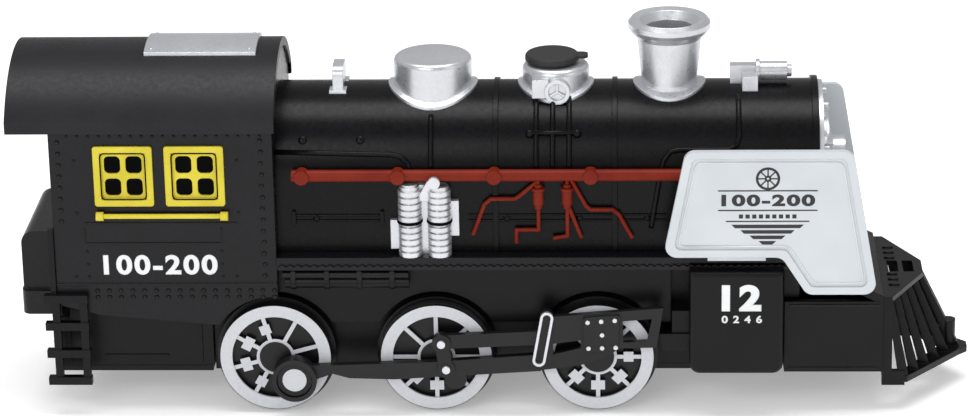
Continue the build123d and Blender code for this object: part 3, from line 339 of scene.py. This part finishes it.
for entry in frame["record"]["subparts"]:
    name = entry["node"]
    slot = entry["material_slot"]
    # The boiler shell takes the darker black that carries painted shade.
    if name == "boiler_shell":
        paint(name, "black_boiler_painted_shade")
    elif slot == "wheel_plastic":
        paint(name, "wheel_" + name.split("_")[1])
    else:
        paint(name, slot)


# ---------- making pieces ----------

def piece(name, mesh, material, body="root", smooth=True):
    """A new object from a mesh, riding on a body."""
    made = bpy.data.objects.new(name, mesh)
    bpy.context.scene.collection.objects.link(made)
    mesh.materials.append(materials[material])
    if smooth:
        for face in mesh.polygons:
            face.use_smooth = True
    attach(made, body)
    return made


def mesh_of(name, points, faces):
    """A mesh from points in millimetres."""
    mesh = bpy.data.meshes.new(name)
    mesh.from_pydata([tuple(value * MM for value in point) for point in points], [], faces)
    mesh.validate()
    mesh.update()
    return mesh


def joined(parts):
    """Several (points, faces) lists as one."""
    points = []
    faces = []
    for part_points, part_faces in parts:
        base = len(points)
        points.extend(part_points)
        faces.extend([tuple(base + index for index in face) for face in part_faces])
    return points, faces


def mirrored(part):
    """The left-side copy of a (points, faces) pair."""
    points, faces = part
    return [(x, -y, z) for x, y, z in points], [tuple(reversed(face)) for face in faces]


def both_sides(name, parts, material, smooth=False):
    """A piece of the right side's shapes and their copies on the left."""
    parts = parts + [mirrored(part) for part in parts]
    return piece(name, mesh_of(name, *joined(parts)), material, smooth=smooth)


def ring_walls(count, sides):
    """The faces between each ring of points and the next one."""
    faces = []
    for ring in range(count - 1):
        for side in range(sides):
            first = ring * sides + side
            second = ring * sides + (side + 1) % sides
            faces.append((first, second, second + sides, first + sides))
    return faces


def dome_head(centre, normal, radius, rise, rings=3, sides=12):
    """A round rivet head that stands on a surface."""
    normal = Vector(normal).normalized()
    across = normal.orthogonal().normalized()
    along = normal.cross(across)
    points = []
    for ring in range(rings):
        angle = math.pi / 2 * ring / rings
        reach = radius * math.cos(angle)
        height = rise * math.sin(angle)
        for side in range(sides):
            turn = 2 * math.pi * side / sides
            sideways = across * (reach * math.cos(turn)) + along * (reach * math.sin(turn))
            points.append(tuple(Vector(centre) + (sideways + normal * height)))
    points.append(tuple(Vector(centre) + normal * rise))
    faces = ring_walls(rings, sides)
    last = (rings - 1) * sides
    for side in range(sides):
        faces.append((last + side, last + (side + 1) % sides, len(points) - 1))
    faces.append(tuple(reversed(range(sides))))
    return points, faces


def wall_rivets(name, spots, radius, rise):
    """One piece of rivet heads at (x, height) spots on the cab's sides."""
    heads = [dome_head((x, -CAB_SIDE, z), OUTWARD, radius, rise) for x, z in spots]
    both_sides(name, heads, "black_body", smooth=True)


def prism(outline, y_low, y_high):
    """A flat shape in the side view, from one distance out to another on the right side."""
    count = len(outline)
    points = [(x, -y_low, z) for x, z in outline] + [(x, -y_high, z) for x, z in outline]
    faces = [tuple(range(count)), tuple(reversed(range(count, 2 * count)))]
    for index in range(count):
        after = (index + 1) % count
        faces.append((index, index + count, after + count, after))
    return points, faces


def strip(x0, z0, x1, z1, y_low, y_high):
    """A plain rectangular prism() in the side view."""
    return prism([(x0, z0), (x1, z0), (x1, z1), (x0, z1)], y_low, y_high)


def rounded(x0, z0, x1, z1, radius, steps=5):
    """A rectangle with round corners, as an outline."""
    corners = ((x1 - radius, z0 + radius, -90), (x1 - radius, z1 - radius, 0),
               (x0 + radius, z1 - radius, 90), (x0 + radius, z0 + radius, 180))
    outline = []
    for cx, cz, start in corners:
        for step in range(steps + 1):
            angle = math.radians(start + 90 * step / steps)
            outline.append((cx + radius * math.cos(angle), cz + radius * math.sin(angle)))
    return outline


def tube_part(route, radius, sides=10):
    """A round tube along points in millimetres, with mitred corners."""
    route = [Vector(point) for point in route]
    points = []
    reference = None
    for index, place in enumerate(route):
        before = route[max(index - 1, 0)]
        after = route[min(index + 1, len(route) - 1)]
        direction = (after - before).normalized()
        if reference is None:
            reference = direction.orthogonal().normalized()
        reference = (reference - direction * reference.dot(direction)).normalized()
        other = direction.cross(reference)
        for side in range(sides):
            turn = 2 * math.pi * side / sides
            across = reference * (radius * math.cos(turn))
            points.append(tuple(place + across + other * (radius * math.sin(turn))))
    faces = ring_walls(len(route), sides)
    faces.append(tuple(reversed(range(sides))))
    faces.append(tuple(range(len(points) - sides, len(points))))
    return points, faces


def on_boiler(x, height, away=0.0):
    """A point on the right side of the boiler at that height."""
    if height <= BOILER_Z:
        return x, -BOILER_R - away, height
    rise = min(height - BOILER_Z, BOILER_R)
    out = math.sqrt(max(BOILER_R ** 2 - rise ** 2, 0.0))
    scale = (BOILER_R + away) / BOILER_R
    return x, -out * scale, BOILER_Z + rise * scale


def boiler_route(stops, away):
    """A route that hugs the boiler between (x, height) stops."""
    longest_step = 1.2
    route = []
    for (x0, z0), (x1, z1) in zip(stops, stops[1:]):
        count = max(2, int(abs(z1 - z0) / longest_step) + 1)
        for step in range(count):
            t = step / count
            route.append(on_boiler(x0 + (x1 - x0) * t, z0 + (z1 - z0) * t, away))
    route.append(on_boiler(*stops[-1], away))
    return route


def boiler_stud(x, height, radius, rise, away=0.0):
    """A dome head that stands square to the boiler's curve."""
    centre = Vector(on_boiler(x, height, away))
    return dome_head(centre, centre - Vector((x, 0, BOILER_Z)), radius, rise)


# ---------- cab ----------

def cab_rivets():
    """Rivet rows along the ledge, up the corners and under the eaves."""
    pitch = 2.9
    spots = []
    for ledge in (32.3, 30.6):
        spots += [(-97.0 + pitch * number, ledge) for number in range(16)]
    for number in range(13):
        sway = 0.15 * (number % 2)
        spots.append((cab_high.x - 2.9 + sway, 36.2 + pitch * number))
    spots += [(cab_low.x + 2.2, 50.4 + pitch * number) for number in range(8)]
    wall_rivets("cab_rivets", spots, 0.62, 0.42)

    small = [(-102.5 + 2.6 * number, 72.2) for number in range(19)]
    small += [(-99.0, 42.5), (-98.9, 39.2), (-98.8, 36.0), (-102.0, 36.0), (-66.0, 36.0),
              (-62.6, 36.0), (-66.0, 42.6), (-66.0, 39.2), (-101.0, 52.6), (-61.5, 52.6),
              (-61.5, 66.0), (-101.0, 66.0)]
    wall_rivets("cab_small_rivets", small, 0.4, 0.28)


def cab_panels():
    """Raised strips below the windows: one line, and three sides of a panel."""
    side = CAB_SIDE
    parts = [
        strip(-99.2, 49.7, -61.9, 50.1, side, side + 0.22),
        strip(-99.2, 44.6, -66.2, 44.9, side, side + 0.2),
        strip(-99.6, 44.6, -99.2, 48.6, side, side + 0.2),
        strip(-66.2, 44.6, -65.8, 48.6, side, side + 0.2),
    ]
    both_sides("cab_panel_lines", parts, "black_body")


def pane_outline(x, inset, radius):
    """A round-cornered outline, set in from the frame that starts at x."""
    return rounded(x + inset, frames_low.z + inset, x + WINDOW_WIDTH - inset, frames_high.z - inset,
                   radius)


def windows():
    """Near-black panes behind each window frame, painted shade for the cab's dark inside, and a
    near-black line round each sash, painted shade for its groove.
    """
    pane_back = CAB_SIDE - 1.2
    pane_front = CAB_SIDE - 0.35
    panes = []
    grooves = []
    for x in (frames_low.x, frames_high.x - WINDOW_WIDTH):
        panes.append(prism(pane_outline(x, 1.5, 0.6), pane_back, pane_front))
        loop = pane_outline(x, 1.75, 1.0)
        route = [(px, -frames_high.y, pz) for px, pz in loop + loop[:1]]
        grooves.append(tube_part(route, 0.17, 6))
    # The panes and the groove lines are painted shade.
    both_sides("window_shade_panes", panes, "window_painted_shade")
    both_sides("window_groove_shades", grooves, "window_painted_shade", smooth=True)


def roof_details():
    """Rivets on the roof hatch."""
    centre = roof_high.z - ROOF_R
    rise = hatch_high.z - roof_high.z
    inset = 1.6
    sunk = 0.03
    heads = []
    for x in (hatch_low.x + inset, hatch_high.x - inset):
        for y in (-6.4, 6.4):
            z = centre + math.sqrt((ROOF_R + rise) ** 2 - y ** 2)
            heads.append(dome_head((x, y, z - sunk), (0, y, z - centre), 0.45, 0.3))
    mesh = mesh_of("hatch_rivets", *joined(heads))
    piece("hatch_rivets", mesh, "silver_paint")


# ---------- running board and chassis ----------

def scalloped_edge():
    """The wavy upper edge of the running board."""
    pitch = 1.95
    wave = 0.5
    steps = 6
    crest = BOARD_TOP - 1.75
    foot = crest - 1.3
    start = cab_high.x + 0.4
    count = int((deck_high.x - start) / pitch)
    outer = -BOARD_SIDE - 0.45
    inner = -BOARD_SIDE + 0.3
    top = []
    for number in range(count):
        for step in range(steps):
            t = step / steps
            top.append((start + (number + t) * pitch,
                        crest - wave + wave * abs(math.sin(math.pi * t))))
    top.append((start + count * pitch, crest - wave))
    points = []
    faces = []
    for x, z in top:
        points.extend([(x, outer, foot), (x, outer, z), (x, inner, z), (x, inner, foot)])
    for index in range(len(top) - 1):
        base = 4 * index
        for corner in range(4):
            after = (corner + 1) % 4
            faces.append((base + corner, base + after, base + 4 + after, base + 4 + corner))
    faces.append((0, 3, 2, 1))
    faces.append(tuple(4 * (len(top) - 1) + corner for corner in range(4)))
    both_sides("running_board_edge", [(points, faces)], "black_body")


def board_brackets():
    """The pipe under the running board, with its hangers and collars."""
    pipe_out, pipe_z = 20.9, 33.9
    upper_out, upper_z = 21.7, 36.1

    def along(x0, x1, out, z, radius, sides):
        parts.append(tube_part([(x0, -out, z), (x1, -out, z)], radius, sides))

    parts = []
    along(-51.0, -20.6, pipe_out, pipe_z, 1.5, 18)
    for x in (-50.4, -21.2):
        parts.append(strip(x - 0.4, 33.2, x + 0.4, 38.4, 19.1, 21.6))
    for x in (-48.9, -40.7, -32.7, -24.7):
        along(x - 0.6, x + 0.6, pipe_out, pipe_z, 1.85, 18)
        along(x - 0.45, x + 0.45, upper_out, upper_z, 1.0, 14)
        parts.append(strip(x - 0.35, 36.6, x + 0.35, 38.4, 21.4, 22.6))
    both_sides("board_pipe_collars", parts, "black_chassis")


# ---------- boiler ----------

def boiler_pipes():
    """Black pipes moulded along the boiler."""
    away = 0.35
    radius = 0.66
    yoke_z = 70.0
    stops = [
        [(-14.9, 73.6), (-14.9, 62.0)],
        [(38.4, 47.0), (40.6, 60.5), (41.4, 64.0), (43.0, 66.0), (45.0, 66.4), (57.2, 66.4),
         (59.0, 67.3), (59.6, 69.6), (59.6, 76.6)],
        [(cab_high.x, 66.2), (-24.5, 65.5), (-22.0, 64.9), (-20.6, 63.6), (-20.0, 61.6)],
    ]
    stops += [[(x, 76.4), (x, 62.0)] for x in (10.6, 14.6, 18.6)]
    parts = [tube_part(boiler_route(line, away), radius) for line in stops]
    parts.append(tube_part(boiler_route([(9.3, yoke_z), (20.3, yoke_z)], 0.9), 0.55))
    parts += [boiler_stud(x, yoke_z, 1.15, 1.3, away=0.1) for x in (9.1, 20.5)]
    # These pipes take the boiler's darker black, which carries painted shade.
    both_sides("boiler_pipes", parts, "black_boiler_painted_shade", smooth=True)


def boiler_fittings():
    """Small bosses and plugs on the boiler, and the conduit along its lower wall."""
    wire_out = -BOILER_R - 0.1
    wire_radius = 0.32
    parts = [boiler_stud(x, 68.8, 1.1, 0.7) for x in (-46.0, -32.0)]
    for x in (-43.0, 3.4, 21.0, 37.5):
        parts.append(dome_head((x, -BOILER_R, 49.6), OUTWARD, 0.9, 0.75))
    for z in (48.9, 50.3):
        for x0, x1 in ((-48.5, -27.0), (-6.0, 42.0)):
            parts.append(tube_part([(x0, wire_out, z), (x1, wire_out, z)], wire_radius, 8))
    for x in (-48.5, -27.0):
        clip = rounded(x - 0.5, 47.6, x + 0.5, 51.6, 0.45)
        parts.append(prism(clip, BOILER_R, BOILER_R + 0.8))
    # These details take the boiler's darker black, which carries painted shade.
    both_sides("boiler_wall_details", parts, "black_boiler_painted_shade")


def pump_gap_shades():
    """A near-black ring round each pump where its upper and lower cylinders meet: painted shade for
    the gap between them.
    """
    radius = 2.75
    steps = 32
    parts = []
    for x in (-20.1, -12.9):
        ring = []
        for step in range(steps + 1):
            turn = 2 * math.pi * step / steps
            ring.append((x + radius * math.cos(turn), -20.5 + radius * math.sin(turn), 49.6))
        parts.append(tube_part(ring, 0.42, 8))
    both_sides("pump_gap_shades", parts, "gap_shade_black", smooth=True)


# ---------- front end and battery box ----------

def front_box_lines():
    """Raised strips along the box behind the pilot."""
    side = front_high.y
    parts = [
        strip(72.0, 27.6, 93.8, 28.2, side, side + 0.25),
        strip(72.0, 11.3, 93.8, 11.7, side, side + 0.2),
    ]
    both_sides("front_box_lines", parts, "black_body")


def pilot_marks():
    """Tread strips on the pilot's shelf."""
    top = 29.7
    rear, front, height = 96.6, 99.2, top + 0.02
    parts = [tube_part([(rear, -y, height), (front, -y, height)], 0.3, 8)
             for y in (5.6, 9.2, 12.8)]
    both_sides("pilot_treads", parts, "black_chassis", smooth=True)


def case_lines():
    """Seams and a finger notch on the battery box below the cab."""
    side = -case_low.y
    parts = [strip(x - 0.3, 11.2, x + 0.3, 22.6, side, side + 0.3)
             for x in (case_low.x + 3.0, case_high.x - 3.0)]
    parts.append(prism(rounded(-97.0, 12.4, -81.0, 13.1, 0.3), side, side + 0.3))
    both_sides("case_seams", parts, "black_chassis")


# ---------- printed marks ----------

def printed_text(name, words, height, left, base, out, material, width, weight=0.05):
    """Plain numerals of a given height and width lying on a side wall, right and left."""
    size_per_height = 1.38  # the font's size over the height of its numerals
    for side, suffix in ((-1, "_right"), (1, "_left")):
        curve = bpy.data.curves.new(name + suffix, "FONT")
        curve.body = words
        curve.size = height * size_per_height * MM
        curve.offset = weight * height * MM
        curve.extrude = 0.03 * MM
        curve.space_character = 1.16
        holder = bpy.data.objects.new(name + "_curve", curve)
        bpy.context.scene.collection.objects.link(holder)
        bpy.context.view_layer.update()
        drawn = holder.evaluated_get(bpy.context.evaluated_depsgraph_get())
        mesh = bpy.data.meshes.new_from_object(drawn)
        bpy.data.objects.remove(holder)
        xs = [vertex.co.x for vertex in mesh.vertices]
        ys = [vertex.co.y for vertex in mesh.vertices]
        span = max(xs) - min(xs)
        stretch = width * MM / span
        tall = height * MM / (max(ys) - min(ys))
        x_start = min(xs)
        y_start = min(ys)
        for vertex in mesh.vertices:
            x = (vertex.co.x - x_start) * stretch
            z = (vertex.co.y - y_start) * tall
            depth = vertex.co.z
            if side < 0:
                vertex.co = (left * MM + x, -(out * MM) - depth, base * MM + z)
            else:
                vertex.co = (left * MM + span * stretch - x, out * MM + depth, base * MM + z)
        mesh.update()
        mesh.materials.clear()
        piece(name + suffix, mesh, material, smooth=False)


def ring_outline(cx, cz, outer, inner, y_low, y_high, sides=40):
    """A flat ring in the side view."""
    points = []
    faces = []
    for radius in (outer, inner):
        for depth in (y_low, y_high):
            for side in range(sides):
                turn = 2 * math.pi * side / sides
                points.append((cx + radius * math.cos(turn), -depth, cz + radius * math.sin(turn)))
    outer_low, outer_high, inner_low, inner_high = (row * sides for row in range(4))
    for side in range(sides):
        after = (side + 1) % sides
        for first, second in ((outer_low, outer_high), (inner_high, inner_low),
                              (outer_high, inner_high), (inner_low, outer_low)):
            faces.append((first + side, second + side, second + after, first + after))
    return points, faces


def plate_badge():
    """A plain badge printed on each side plate: a spoked wheel over rules and stepped bars."""
    low = PLATE_FACE
    high = low + 0.05
    cx = 66.3
    wheel_z = 62.2
    spokes = 8
    spoke_half = 0.16

    def flat(*outline):
        parts.append(prism([(cx + x, z) for x, z in outline], low, high))

    parts = [ring_outline(cx, wheel_z, 2.9, 2.3, low, high),
             ring_outline(cx, wheel_z, 0.8, 0.3, low, high)]
    for number in range(spokes):
        angle = 2 * math.pi / spokes * number
        along = Vector((math.cos(angle), math.sin(angle)))
        across = Vector((-along.y, along.x)) * spoke_half
        near = along * 0.75 + Vector((0, wheel_z))
        far = along * 2.35 + Vector((0, wheel_z))
        flat(tuple(near - across), tuple(far - across), tuple(far + across), tuple(near + across))
    for half, z in ((11.9, 59.0), (11.9, 54.0), (10.0, 51.2)):
        flat((-half, z), (half, z), (half, z + 0.3), (-half, z + 0.3))
    for number in range(9):
        x = -6.4 + 1.6 * number
        flat((x - 0.5, 52.1), (x + 0.5, 52.1), (x + 0.5, 53.1), (x - 0.5, 53.1))
    for half, z in ((7.8, 49.6), (5.6, 48.2), (3.4, 46.8), (1.2, 45.4)):
        flat((-half, z), (half, z), (half + 0.9, z + 0.9), (-half - 0.9, z + 0.9))
    both_sides("plate_badge", parts, "black_print")


def plate_bead():
    """The fine raised line inside each plate's rim."""
    corners = [(44.8, 45.0), (49.2, 66.3), (84.1, 66.3), (89.6, 35.4), (77.6, 35.4), (71.5, 45.0)]
    corner_reach = 1.6
    steps = 5
    face = PLATE_FACE + 0.05
    route = []
    for index, corner in enumerate(corners):
        before = Vector(corners[index - 1])
        corner = Vector(corner)
        after = Vector(corners[(index + 1) % len(corners)])
        start = corner + (before - corner).normalized() * corner_reach
        end = corner + (after - corner).normalized() * corner_reach
        for step in range(steps + 1):
            t = step / steps
            place = start * (1 - t) ** 2 + corner * (2 * t * (1 - t)) + end * t ** 2
            route.append((place.x, -face, place.y))
    route.append(route[0])
    both_sides("plate_bead", [tube_part(route, 0.22, 8)], "plate_rim",
               smooth=True)


def printed_marks():
    """Plain numbers on the cab, the cylinder blocks and the side plates."""
    cab_out = CAB_SIDE + PRINT_GAP
    block_out = abs(block_low.y) + PRINT_GAP
    plate_out = PLATE_FACE + PRINT_GAP
    printed_text("cab_number", "100-200", 5.2, -95.2, 36.5, cab_out, "white_print", 28.0)
    printed_text("cylinder_number", "12", 6.9, 55.4, 28.3, block_out, "white_print", 9.6, 0.07)
    printed_text("cylinder_small_number", "0 2 4 6", 2.0, 55.4, 25.2, block_out, "white_print", 9.8)
    printed_text("plate_number", "100-200", 3.0, 55.2, 55.2, plate_out, "black_print", 22.4, 0.06)


cab_rivets()
cab_panels()
windows()
roof_details()
scalloped_edge()
board_brackets()
boiler_pipes()
boiler_fittings()
pump_gap_shades()
front_box_lines()
pilot_marks()
case_lines()
plate_badge()
plate_bead()
printed_marks()


# ---------- stage, light and camera; lengths in metres ----------

def stage():
    """A pale floor, wide enough to fill the view."""
    mesh = bpy.data.meshes.new("floor")
    size = 6.0
    corners = [(-size, -size, 0), (size, -size, 0), (size, size, 0), (-size, size, 0)]
    mesh.from_pydata(corners, [], [(0, 1, 2, 3)])
    floor = bpy.data.objects.new("floor", mesh)
    bpy.context.scene.collection.objects.link(floor)
    material, _, shader, _ = new_material("floor_white")
    shader.inputs["Base Color"].default_value = (0.95, 0.95, 0.95, 1)
    shader.inputs["Roughness"].default_value = 1.0
    shader.inputs["Specular IOR Level"].default_value = 0.0
    shader.inputs["Emission Color"].default_value = (1, 1, 1, 1)
    shader.inputs["Emission Strength"].default_value = 0.3
    mesh.materials.append(material)


def area_light(name, place, size, power):
    """A soft box aimed at the middle of the object."""
    target = Vector((0, 0, 0.05))
    data = bpy.data.lights.new(name, "AREA")
    data.shape = "RECTANGLE"
    data.size, data.size_y = size
    data.energy = power
    lamp = bpy.data.objects.new(name, data)
    bpy.context.scene.collection.objects.link(lamp)
    lamp.location = place
    lamp.rotation_euler = (target - Vector(place)).to_track_quat("-Z", "Y").to_euler()


def lights():
    """Bright even studio light with a large soft box overhead."""
    world = bpy.data.worlds.new("studio")
    bpy.context.scene.world = world
    world.use_nodes = True
    background = world.node_tree.nodes["Background"]
    background.inputs["Color"].default_value = (1, 1, 1, 1)
    background.inputs["Strength"].default_value = 0.42
    area_light("top_box", (0.0, 0.0, 0.95), (0.85, 0.42), 6.2)
    area_light("front_box", (-0.35, -0.9, 0.55), (0.7, 0.5), 3.4)
    area_light("right_box", (0.75, -0.5, 0.45), (0.5, 0.5), 0.9)


def camera():
    """The camera on the object's right side, above it, a little ahead of its middle."""
    place = Vector((36.6, -834.2, 352.1)) * MM
    aim = Vector((-2.9, 0.0, 45.3)) * MM
    roll_degrees = -1.07
    data = bpy.data.cameras.new("camera")
    data.sensor_width = 36.0
    data.lens = 133.1
    data.clip_start = 0.01
    data.clip_end = 50
    made = bpy.data.objects.new("camera", data)
    bpy.context.scene.collection.objects.link(made)
    turn = (aim - place).to_track_quat("-Z", "Y").to_matrix().to_4x4()
    roll = Matrix.Rotation(math.radians(roll_degrees), 4, "Z")
    made.matrix_world = Matrix.Translation(place) @ turn @ roll
    bpy.context.scene.camera = made


stage()
lights()
camera()
bpy.context.scene.view_settings.view_transform = "Standard"
